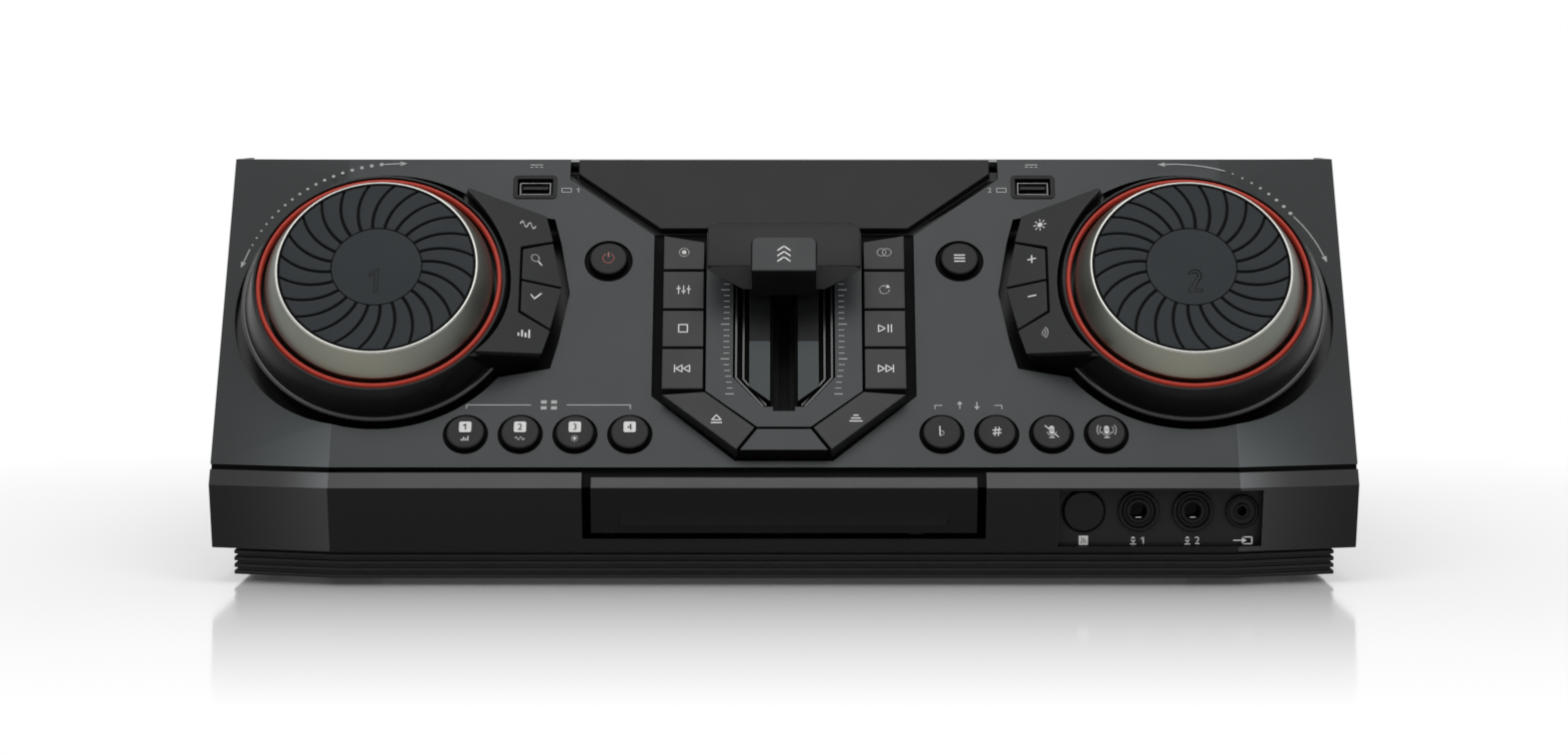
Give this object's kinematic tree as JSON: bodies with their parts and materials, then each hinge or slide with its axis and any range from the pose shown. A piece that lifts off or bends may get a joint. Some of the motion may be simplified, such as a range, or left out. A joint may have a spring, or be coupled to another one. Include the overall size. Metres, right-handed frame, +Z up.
{
  "type": "mini hi-fi system",
  "caption": "Mini hi-fi console with a sloped control panel, jog dials with pods of keys, a sliding lever, round buttons, a disc tray, front jacks and a boxy metal cabinet behind.",
  "frame": {"origin": "centre of the footprint, on the floor", "axes": "+X to the right seen from the front, +Y to the back, +Z up"},
  "size_m": [0.47, 0.33, 0.1729],
  "materials": {
    "cabinet_grey": "satin moulded plastic",
    "front_black": "semi-gloss moulded plastic",
    "plinth_black": "matt moulded plastic",
    "window_black": "polished tinted plastic",
    "ring_red": "translucent moulded plastic",
    "dial_metal": "satin turned metal",
    "dial_pad": "matt rubber",
    "key_grey": "satin moulded plastic",
    "button_grey": "satin moulded plastic",
    "lever_black": "semi-gloss moulded plastic",
    "jack_black": "matt moulded plastic",
    "socket_metal": "plated steel",
    "cover_black": "textured black paint",
    "chassis_steel": "zinc-plated steel",
    "foot_rubber": "matt rubber",
    "board_green": "lacquered circuit board",
    "supply_iron": "laminated iron and board",
    "loader_grey": "moulded plastic",
    "fan_black": "moulded plastic",
    "socket_black": "moulded plastic"
  },
  "bodies": {
    "cabinet": {"bottom_chassis": "chassis_steel", "base_plinth": "plinth_black", "rear_panel": "cover_black", "top_cover": "cover_black", "front_bezel": "front_black", "control_panel": "cabinet_grey", "display_window": "window_black", "left_dial_housing": "front_black", "right_dial_housing": "front_black", "dial_light_rings": "ring_red", "centre_console": "cabinet_grey", "jack_plate": "jack_black", "front_jacks": "jack_black", "sensor_window": "window_black", "usb_sockets": "socket_metal", "control_board": "board_green", "loader_frame": "loader_grey", "main_board": "board_green", "power_supply": "supply_iron", "fan_frame": "fan_black", "rear_sockets": "socket_black", "feet": "foot_rubber", "case_screws": "chassis_steel"},
    "power_button": {"power_button": "button_grey"},
    "function_button": {"function_button": "button_grey"},
    "pad_button_1": {"pad_button_1": "button_grey"},
    "pad_button_2": {"pad_button_2": "button_grey"},
    "pad_button_3": {"pad_button_3": "button_grey"},
    "pad_button_4": {"pad_button_4": "button_grey"},
    "tone_button_1": {"tone_button_1": "button_grey"},
    "tone_button_2": {"tone_button_2": "button_grey"},
    "tone_button_3": {"tone_button_3": "button_grey"},
    "tone_button_4": {"tone_button_4": "button_grey"},
    "left_column_key_1": {"left_column_key_1": "key_grey"},
    "left_column_key_2": {"left_column_key_2": "key_grey"},
    "left_column_key_3": {"left_column_key_3": "key_grey"},
    "left_column_key_4": {"left_column_key_4": "key_grey"},
    "right_column_key_1": {"right_column_key_1": "key_grey"},
    "right_column_key_2": {"right_column_key_2": "key_grey"},
    "right_column_key_3": {"right_column_key_3": "key_grey"},
    "right_column_key_4": {"right_column_key_4": "key_grey"},
    "eject_key": {"eject_key": "key_grey"},
    "mode_key": {"mode_key": "key_grey"},
    "left_pod_key_1": {"left_pod_key_1": "key_grey"},
    "left_pod_key_2": {"left_pod_key_2": "key_grey"},
    "left_rocker_key": {"left_rocker_key": "key_grey"},
    "left_dial": {"left_dial": "dial_metal", "left_dial_pad": "dial_pad"},
    "right_pod_key_1": {"right_pod_key_1": "key_grey"},
    "right_pod_key_2": {"right_pod_key_2": "key_grey"},
    "right_rocker_key": {"right_rocker_key": "key_grey"},
    "right_dial": {"right_dial": "dial_metal", "right_dial_pad": "dial_pad"},
    "lever_handle": {"lever_handle": "lever_black"},
    "disc_tray": {"disc_tray": "loader_grey", "tray_door": "front_black"},
    "tray_gear": {"tray_gear": "loader_grey"},
    "disc_turntable": {"disc_turntable": "loader_grey"},
    "optical_pickup": {"optical_pickup": "loader_grey"},
    "fan_rotor": {"fan_rotor": "fan_black"}
  },
  "joints": [
    {"name": "power_button_move", "type": "slide", "parent": "cabinet", "child": "power_button", "axis": [0, 0.8192, -0.5736], "range_m": [0, 0.0008], "stiffness_N_per_m": 150},
    {"name": "function_button_move", "type": "slide", "parent": "cabinet", "child": "function_button", "axis": [0, 0.8192, -0.5736], "range_m": [0, 0.0008], "stiffness_N_per_m": 150},
    {"name": "pad_button_1_move", "type": "slide", "parent": "cabinet", "child": "pad_button_1", "axis": [0, 0.8192, -0.5736], "range_m": [0, 0.0008], "stiffness_N_per_m": 150},
    {"name": "pad_button_2_move", "type": "slide", "parent": "cabinet", "child": "pad_button_2", "axis": [0, 0.8192, -0.5736], "range_m": [0, 0.0008], "stiffness_N_per_m": 150},
    {"name": "pad_button_3_move", "type": "slide", "parent": "cabinet", "child": "pad_button_3", "axis": [0, 0.8192, -0.5736], "range_m": [0, 0.0008], "stiffness_N_per_m": 150},
    {"name": "pad_button_4_move", "type": "slide", "parent": "cabinet", "child": "pad_button_4", "axis": [0, 0.8192, -0.5736], "range_m": [0, 0.0008], "stiffness_N_per_m": 150},
    {"name": "tone_button_1_move", "type": "slide", "parent": "cabinet", "child": "tone_button_1", "axis": [0, 0.8192, -0.5736], "range_m": [0, 0.0008], "stiffness_N_per_m": 150},
    {"name": "tone_button_2_move", "type": "slide", "parent": "cabinet", "child": "tone_button_2", "axis": [0, 0.8192, -0.5736], "range_m": [0, 0.0008], "stiffness_N_per_m": 150},
    {"name": "tone_button_3_move", "type": "slide", "parent": "cabinet", "child": "tone_button_3", "axis": [0, 0.8192, -0.5736], "range_m": [0, 0.0008], "stiffness_N_per_m": 150},
    {"name": "tone_button_4_move", "type": "slide", "parent": "cabinet", "child": "tone_button_4", "axis": [0, 0.8192, -0.5736], "range_m": [0, 0.0008], "stiffness_N_per_m": 150},
    {"name": "left_column_key_1_move", "type": "slide", "parent": "cabinet", "child": "left_column_key_1", "axis": [0, 0.8192, -0.5736], "range_m": [0, 0.0008], "stiffness_N_per_m": 150},
    {"name": "left_column_key_2_move", "type": "slide", "parent": "cabinet", "child": "left_column_key_2", "axis": [0, 0.8192, -0.5736], "range_m": [0, 0.0008], "stiffness_N_per_m": 150},
    {"name": "left_column_key_3_move", "type": "slide", "parent": "cabinet", "child": "left_column_key_3", "axis": [0, 0.8192, -0.5736], "range_m": [0, 0.0008], "stiffness_N_per_m": 150},
    {"name": "left_column_key_4_move", "type": "slide", "parent": "cabinet", "child": "left_column_key_4", "axis": [0, 0.8192, -0.5736], "range_m": [0, 0.0008], "stiffness_N_per_m": 150},
    {"name": "right_column_key_1_move", "type": "slide", "parent": "cabinet", "child": "right_column_key_1", "axis": [0, 0.8192, -0.5736], "range_m": [0, 0.0008], "stiffness_N_per_m": 150},
    {"name": "right_column_key_2_move", "type": "slide", "parent": "cabinet", "child": "right_column_key_2", "axis": [0, 0.8192, -0.5736], "range_m": [0, 0.0008], "stiffness_N_per_m": 150},
    {"name": "right_column_key_3_move", "type": "slide", "parent": "cabinet", "child": "right_column_key_3", "axis": [0, 0.8192, -0.5736], "range_m": [0, 0.0008], "stiffness_N_per_m": 150},
    {"name": "right_column_key_4_move", "type": "slide", "parent": "cabinet", "child": "right_column_key_4", "axis": [0, 0.8192, -0.5736], "range_m": [0, 0.0008], "stiffness_N_per_m": 150},
    {"name": "eject_key_move", "type": "slide", "parent": "cabinet", "child": "eject_key", "axis": [0, 0.8192, -0.5736], "range_m": [0, 0.0008], "stiffness_N_per_m": 150},
    {"name": "mode_key_move", "type": "slide", "parent": "cabinet", "child": "mode_key", "axis": [0, 0.8192, -0.5736], "range_m": [0, 0.0008], "stiffness_N_per_m": 150},
    {"name": "left_pod_key_1_move", "type": "slide", "parent": "cabinet", "child": "left_pod_key_1", "axis": [-0.3746, 0.7595, -0.5318], "range_m": [0, 0.0008], "stiffness_N_per_m": 150},
    {"name": "left_pod_key_2_move", "type": "slide", "parent": "cabinet", "child": "left_pod_key_2", "axis": [-0.3746, 0.7595, -0.5318], "range_m": [0, 0.0008], "stiffness_N_per_m": 150},
    {"name": "left_rocker_key_move", "type": "hinge", "parent": "cabinet", "child": "left_rocker_key", "pos_m": [-0.11265, -0.11768, 0.12222], "axis": [0.9272, 0.3069, -0.2149], "range_deg": [-1.2, 1.2], "stiffness_Nm_per_rad": 0.12},
    {"name": "left_dial_move", "type": "hinge", "parent": "cabinet", "child": "left_dial", "pos_m": [-0.1674, -0.12159, 0.12093], "axis": [0, -0.8192, 0.5736], "continuous": true},
    {"name": "right_pod_key_1_move", "type": "slide", "parent": "cabinet", "child": "right_pod_key_1", "axis": [0.3746, 0.7595, -0.5318], "range_m": [0, 0.0008], "stiffness_N_per_m": 150},
    {"name": "right_pod_key_2_move", "type": "slide", "parent": "cabinet", "child": "right_pod_key_2", "axis": [0.3746, 0.7595, -0.5318], "range_m": [0, 0.0008], "stiffness_N_per_m": 150},
    {"name": "right_rocker_key_move", "type": "hinge", "parent": "cabinet", "child": "right_rocker_key", "pos_m": [0.11265, -0.11768, 0.12222], "axis": [0.9272, -0.3069, 0.2149], "range_deg": [-1.2, 1.2], "stiffness_Nm_per_rad": 0.12},
    {"name": "right_dial_move", "type": "hinge", "parent": "cabinet", "child": "right_dial", "pos_m": [0.1674, -0.12159, 0.12093], "axis": [0, -0.8192, 0.5736], "continuous": true},
    {"name": "lever_handle_move", "type": "slide", "parent": "cabinet", "child": "lever_handle", "axis": [0, -0.5736, -0.8192], "range_m": [0, 0.05]},
    {"name": "disc_tray_move", "type": "slide", "parent": "cabinet", "child": "disc_tray", "axis": [0, -1, 0], "range_m": [0, 0.13]},
    {"name": "tray_gear_move", "type": "hinge", "parent": "cabinet", "child": "tray_gear", "pos_m": [0.04, -0.135, 0.022], "axis": [0, 0, -1], "range_deg": [0, 745]},
    {"name": "disc_turntable_move", "type": "hinge", "parent": "cabinet", "child": "disc_turntable", "pos_m": [0, -0.095, 0.0235], "axis": [0, 0, 1], "continuous": true},
    {"name": "optical_pickup_move", "type": "slide", "parent": "cabinet", "child": "optical_pickup", "axis": [0, 1, 0], "range_m": [0, 0.03]},
    {"name": "fan_rotor_move", "type": "hinge", "parent": "cabinet", "child": "fan_rotor", "pos_m": [0, 0.147, 0.092], "axis": [0, 1, 0], "continuous": true}
  ],
  "couplings": [
    {"joint": "tray_gear_move", "follows": "disc_tray_move", "rad_per_m": 100}
  ]
}
